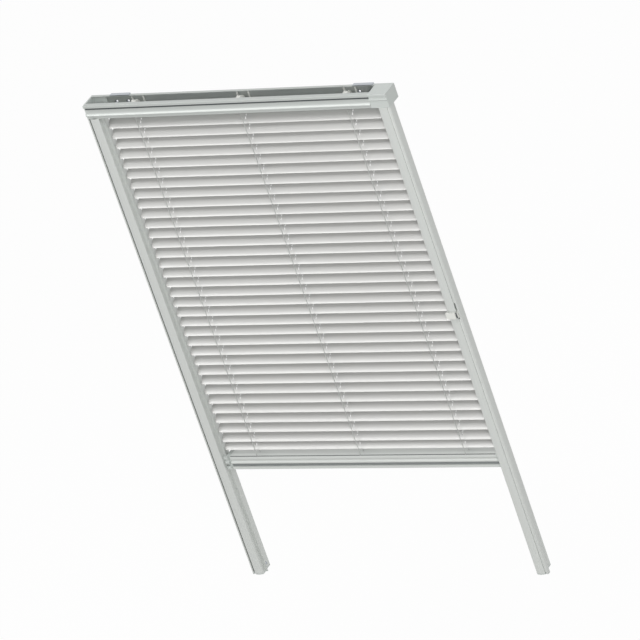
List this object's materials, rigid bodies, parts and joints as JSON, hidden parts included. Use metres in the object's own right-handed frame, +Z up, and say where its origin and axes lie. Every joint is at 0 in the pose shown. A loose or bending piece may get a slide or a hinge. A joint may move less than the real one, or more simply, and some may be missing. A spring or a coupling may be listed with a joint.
{
  "type": "roof window venetian blind",
  "caption": "Roof window venetian blind: slatted blind held in a head rail, side rails and a bottom bar, tilted by a slider on the side rail.",
  "frame": {"origin": "centre of the head rail's back, on the plane where its two brackets meet the sash, halfway between their holes", "axes": "+X along the head rail towards the tilt slider's side, +Y back into the window sash, +Z up along the side rails towards the head rail"},
  "size_m": [0.622, 0.0438, 1.0145],
  "materials": {
    "rail_aluminium": "satin anodised, light grey",
    "slat_aluminium": "stove-enamelled, satin light grey",
    "grey_plastic": "satin light grey",
    "white_plastic": "satin off-white",
    "plated_steel": "zinc plated",
    "woven_cord": "braided polyester, white"
  },
  "bodies": {
    "frame": {"head_rail": "rail_aluminium", "side_rail_left": "rail_aluminium", "side_rail_right": "rail_aluminium", "bottom_bar": "rail_aluminium", "head_cap_left": "grey_plastic", "head_cap_right": "grey_plastic", "rail_foot_left": "grey_plastic", "rail_foot_right": "grey_plastic", "bottom_cap_left": "grey_plastic", "bottom_cap_right": "grey_plastic", "drum_cradle_left": "white_plastic", "drum_cradle_middle": "white_plastic", "drum_cradle_right": "white_plastic", "bracket_left": "plated_steel", "bracket_right": "plated_steel", "foot_screws": "plated_steel", "tilt_cord": "woven_cord", "ladder_cords": "woven_cord", "guide_cords": "woven_cord"},
    "tilt_shaft": {"tilt_rod": "plated_steel", "cord_wheel": "white_plastic", "ladder_drum_left": "white_plastic", "ladder_drum_middle": "white_plastic", "ladder_drum_right": "white_plastic"},
    "tilt_slider": {"tilt_slider": "white_plastic"},
    "foot_pulley": {"foot_pulley": "white_plastic"},
    "slat_01": {"slat_01": "slat_aluminium"},
    "slat_02": {"slat_02": "slat_aluminium"},
    "slat_03": {"slat_03": "slat_aluminium"},
    "slat_04": {"slat_04": "slat_aluminium"},
    "slat_05": {"slat_05": "slat_aluminium"},
    "slat_06": {"slat_06": "slat_aluminium"},
    "slat_07": {"slat_07": "slat_aluminium"},
    "slat_08": {"slat_08": "slat_aluminium"},
    "slat_09": {"slat_09": "slat_aluminium"},
    "slat_10": {"slat_10": "slat_aluminium"},
    "slat_11": {"slat_11": "slat_aluminium"},
    "slat_12": {"slat_12": "slat_aluminium"},
    "slat_13": {"slat_13": "slat_aluminium"},
    "slat_14": {"slat_14": "slat_aluminium"},
    "slat_15": {"slat_15": "slat_aluminium"},
    "slat_16": {"slat_16": "slat_aluminium"},
    "slat_17": {"slat_17": "slat_aluminium"},
    "slat_18": {"slat_18": "slat_aluminium"},
    "slat_19": {"slat_19": "slat_aluminium"},
    "slat_20": {"slat_20": "slat_aluminium"},
    "slat_21": {"slat_21": "slat_aluminium"},
    "slat_22": {"slat_22": "slat_aluminium"},
    "slat_23": {"slat_23": "slat_aluminium"},
    "slat_24": {"slat_24": "slat_aluminium"},
    "slat_25": {"slat_25": "slat_aluminium"},
    "slat_26": {"slat_26": "slat_aluminium"},
    "slat_27": {"slat_27": "slat_aluminium"},
    "slat_28": {"slat_28": "slat_aluminium"},
    "slat_29": {"slat_29": "slat_aluminium"},
    "slat_30": {"slat_30": "slat_aluminium"},
    "slat_31": {"slat_31": "slat_aluminium"},
    "slat_32": {"slat_32": "slat_aluminium"},
    "slat_33": {"slat_33": "slat_aluminium"},
    "slat_34": {"slat_34": "slat_aluminium"}
  },
  "joints": [
    {"name": "tilt_turn", "type": "hinge", "parent": "frame", "child": "tilt_shaft", "pos_m": [0, -0.0185, 0], "axis": [1, 0, 0], "range_deg": [-112, 28]},
    {"name": "tilt_slide", "type": "slide", "parent": "frame", "child": "tilt_slider", "axis": [0, 0, -1], "range_m": [-0.019, 0.0048]},
    {"name": "foot_pulley_turn", "type": "hinge", "parent": "frame", "child": "foot_pulley", "pos_m": [0.30135, -0.0345, -0.983], "axis": [0, 1, 0], "range_deg": [-180, 46]},
    {"name": "slat_01_tilt", "type": "hinge", "parent": "frame", "child": "slat_01", "pos_m": [0, -0.0185, -0.0325], "axis": [1, 0, 0], "range_deg": [-112.5, 28.5]},
    {"name": "slat_02_tilt", "type": "hinge", "parent": "frame", "child": "slat_02", "pos_m": [0, -0.0185, -0.0535], "axis": [1, 0, 0], "range_deg": [-112.5, 28.5]},
    {"name": "slat_03_tilt", "type": "hinge", "parent": "frame", "child": "slat_03", "pos_m": [0, -0.0185, -0.0745], "axis": [1, 0, 0], "range_deg": [-112.5, 28.5]},
    {"name": "slat_04_tilt", "type": "hinge", "parent": "frame", "child": "slat_04", "pos_m": [0, -0.0185, -0.0955], "axis": [1, 0, 0], "range_deg": [-112.5, 28.5]},
    {"name": "slat_05_tilt", "type": "hinge", "parent": "frame", "child": "slat_05", "pos_m": [0, -0.0185, -0.1165], "axis": [1, 0, 0], "range_deg": [-112.5, 28.5]},
    {"name": "slat_06_tilt", "type": "hinge", "parent": "frame", "child": "slat_06", "pos_m": [0, -0.0185, -0.1375], "axis": [1, 0, 0], "range_deg": [-112.5, 28.5]},
    {"name": "slat_07_tilt", "type": "hinge", "parent": "frame", "child": "slat_07", "pos_m": [0, -0.0185, -0.1585], "axis": [1, 0, 0], "range_deg": [-112.5, 28.5]},
    {"name": "slat_08_tilt", "type": "hinge", "parent": "frame", "child": "slat_08", "pos_m": [0, -0.0185, -0.1795], "axis": [1, 0, 0], "range_deg": [-112.5, 28.5]},
    {"name": "slat_09_tilt", "type": "hinge", "parent": "frame", "child": "slat_09", "pos_m": [0, -0.0185, -0.2005], "axis": [1, 0, 0], "range_deg": [-112.5, 28.5]},
    {"name": "slat_10_tilt", "type": "hinge", "parent": "frame", "child": "slat_10", "pos_m": [0, -0.0185, -0.2215], "axis": [1, 0, 0], "range_deg": [-112.5, 28.5]},
    {"name": "slat_11_tilt", "type": "hinge", "parent": "frame", "child": "slat_11", "pos_m": [0, -0.0185, -0.2425], "axis": [1, 0, 0], "range_deg": [-112.5, 28.5]},
    {"name": "slat_12_tilt", "type": "hinge", "parent": "frame", "child": "slat_12", "pos_m": [0, -0.0185, -0.2635], "axis": [1, 0, 0], "range_deg": [-112.5, 28.5]},
    {"name": "slat_13_tilt", "type": "hinge", "parent": "frame", "child": "slat_13", "pos_m": [0, -0.0185, -0.2845], "axis": [1, 0, 0], "range_deg": [-112.5, 28.5]},
    {"name": "slat_14_tilt", "type": "hinge", "parent": "frame", "child": "slat_14", "pos_m": [0, -0.0185, -0.3055], "axis": [1, 0, 0], "range_deg": [-112.5, 28.5]},
    {"name": "slat_15_tilt", "type": "hinge", "parent": "frame", "child": "slat_15", "pos_m": [0, -0.0185, -0.3265], "axis": [1, 0, 0], "range_deg": [-112.5, 28.5]},
    {"name": "slat_16_tilt", "type": "hinge", "parent": "frame", "child": "slat_16", "pos_m": [0, -0.0185, -0.3475], "axis": [1, 0, 0], "range_deg": [-112.5, 28.5]},
    {"name": "slat_17_tilt", "type": "hinge", "parent": "frame", "child": "slat_17", "pos_m": [0, -0.0185, -0.3685], "axis": [1, 0, 0], "range_deg": [-112.5, 28.5]},
    {"name": "slat_18_tilt", "type": "hinge", "parent": "frame", "child": "slat_18", "pos_m": [0, -0.0185, -0.3895], "axis": [1, 0, 0], "range_deg": [-112.5, 28.5]},
    {"name": "slat_19_tilt", "type": "hinge", "parent": "frame", "child": "slat_19", "pos_m": [0, -0.0185, -0.4105], "axis": [1, 0, 0], "range_deg": [-112.5, 28.5]},
    {"name": "slat_20_tilt", "type": "hinge", "parent": "frame", "child": "slat_20", "pos_m": [0, -0.0185, -0.4315], "axis": [1, 0, 0], "range_deg": [-112.5, 28.5]},
    {"name": "slat_21_tilt", "type": "hinge", "parent": "frame", "child": "slat_21", "pos_m": [0, -0.0185, -0.4525], "axis": [1, 0, 0], "range_deg": [-112.5, 28.5]},
    {"name": "slat_22_tilt", "type": "hinge", "parent": "frame", "child": "slat_22", "pos_m": [0, -0.0185, -0.4735], "axis": [1, 0, 0], "range_deg": [-112.5, 28.5]},
    {"name": "slat_23_tilt", "type": "hinge", "parent": "frame", "child": "slat_23", "pos_m": [0, -0.0185, -0.4945], "axis": [1, 0, 0], "range_deg": [-112.5, 28.5]},
    {"name": "slat_24_tilt", "type": "hinge", "parent": "frame", "child": "slat_24", "pos_m": [0, -0.0185, -0.5155], "axis": [1, 0, 0], "range_deg": [-112.5, 28.5]},
    {"name": "slat_25_tilt", "type": "hinge", "parent": "frame", "child": "slat_25", "pos_m": [0, -0.0185, -0.5365], "axis": [1, 0, 0], "range_deg": [-112.5, 28.5]},
    {"name": "slat_26_tilt", "type": "hinge", "parent": "frame", "child": "slat_26", "pos_m": [0, -0.0185, -0.5575], "axis": [1, 0, 0], "range_deg": [-112.5, 28.5]},
    {"name": "slat_27_tilt", "type": "hinge", "parent": "frame", "child": "slat_27", "pos_m": [0, -0.0185, -0.5785], "axis": [1, 0, 0], "range_deg": [-112.5, 28.5]},
    {"name": "slat_28_tilt", "type": "hinge", "parent": "frame", "child": "slat_28", "pos_m": [0, -0.0185, -0.5995], "axis": [1, 0, 0], "range_deg": [-112.5, 28.5]},
    {"name": "slat_29_tilt", "type": "hinge", "parent": "frame", "child": "slat_29", "pos_m": [0, -0.0185, -0.6205], "axis": [1, 0, 0], "range_deg": [-112.5, 28.5]},
    {"name": "slat_30_tilt", "type": "hinge", "parent": "frame", "child": "slat_30", "pos_m": [0, -0.0185, -0.6415], "axis": [1, 0, 0], "range_deg": [-112.5, 28.5]},
    {"name": "slat_31_tilt", "type": "hinge", "parent": "frame", "child": "slat_31", "pos_m": [0, -0.0185, -0.6625], "axis": [1, 0, 0], "range_deg": [-112.5, 28.5]},
    {"name": "slat_32_tilt", "type": "hinge", "parent": "frame", "child": "slat_32", "pos_m": [0, -0.0185, -0.6835], "axis": [1, 0, 0], "range_deg": [-112.5, 28.5]},
    {"name": "slat_33_tilt", "type": "hinge", "parent": "frame", "child": "slat_33", "pos_m": [0, -0.0185, -0.7045], "axis": [1, 0, 0], "range_deg": [-112.5, 28.5]},
    {"name": "slat_34_tilt", "type": "hinge", "parent": "frame", "child": "slat_34", "pos_m": [0, -0.0185, -0.722], "axis": [1, 0, 0], "range_deg": [-112.5, 28.5]}
  ],
  "couplings": [
    {"joint": "tilt_slide", "follows": "tilt_turn", "m_per_rad": 0.0096},
    {"joint": "foot_pulley_turn", "follows": "tilt_turn", "ratio": 1.6},
    {"joint": "slat_01_tilt", "follows": "tilt_turn", "ratio": 1},
    {"joint": "slat_02_tilt", "follows": "tilt_turn", "ratio": 1},
    {"joint": "slat_03_tilt", "follows": "tilt_turn", "ratio": 1},
    {"joint": "slat_04_tilt", "follows": "tilt_turn", "ratio": 1},
    {"joint": "slat_05_tilt", "follows": "tilt_turn", "ratio": 1},
    {"joint": "slat_06_tilt", "follows": "tilt_turn", "ratio": 1},
    {"joint": "slat_07_tilt", "follows": "tilt_turn", "ratio": 1},
    {"joint": "slat_08_tilt", "follows": "tilt_turn", "ratio": 1},
    {"joint": "slat_09_tilt", "follows": "tilt_turn", "ratio": 1},
    {"joint": "slat_10_tilt", "follows": "tilt_turn", "ratio": 1},
    {"joint": "slat_11_tilt", "follows": "tilt_turn", "ratio": 1},
    {"joint": "slat_12_tilt", "follows": "tilt_turn", "ratio": 1},
    {"joint": "slat_13_tilt", "follows": "tilt_turn", "ratio": 1},
    {"joint": "slat_14_tilt", "follows": "tilt_turn", "ratio": 1},
    {"joint": "slat_15_tilt", "follows": "tilt_turn", "ratio": 1},
    {"joint": "slat_16_tilt", "follows": "tilt_turn", "ratio": 1},
    {"joint": "slat_17_tilt", "follows": "tilt_turn", "ratio": 1},
    {"joint": "slat_18_tilt", "follows": "tilt_turn", "ratio": 1},
    {"joint": "slat_19_tilt", "follows": "tilt_turn", "ratio": 1},
    {"joint": "slat_20_tilt", "follows": "tilt_turn", "ratio": 1},
    {"joint": "slat_21_tilt", "follows": "tilt_turn", "ratio": 1},
    {"joint": "slat_22_tilt", "follows": "tilt_turn", "ratio": 1},
    {"joint": "slat_23_tilt", "follows": "tilt_turn", "ratio": 1},
    {"joint": "slat_24_tilt", "follows": "tilt_turn", "ratio": 1},
    {"joint": "slat_25_tilt", "follows": "tilt_turn", "ratio": 1},
    {"joint": "slat_26_tilt", "follows": "tilt_turn", "ratio": 1},
    {"joint": "slat_27_tilt", "follows": "tilt_turn", "ratio": 1},
    {"joint": "slat_28_tilt", "follows": "tilt_turn", "ratio": 1},
    {"joint": "slat_29_tilt", "follows": "tilt_turn", "ratio": 1},
    {"joint": "slat_30_tilt", "follows": "tilt_turn", "ratio": 1},
    {"joint": "slat_31_tilt", "follows": "tilt_turn", "ratio": 1},
    {"joint": "slat_32_tilt", "follows": "tilt_turn", "ratio": 1},
    {"joint": "slat_33_tilt", "follows": "tilt_turn", "ratio": 1},
    {"joint": "slat_34_tilt", "follows": "tilt_turn", "ratio": 1}
  ]
}
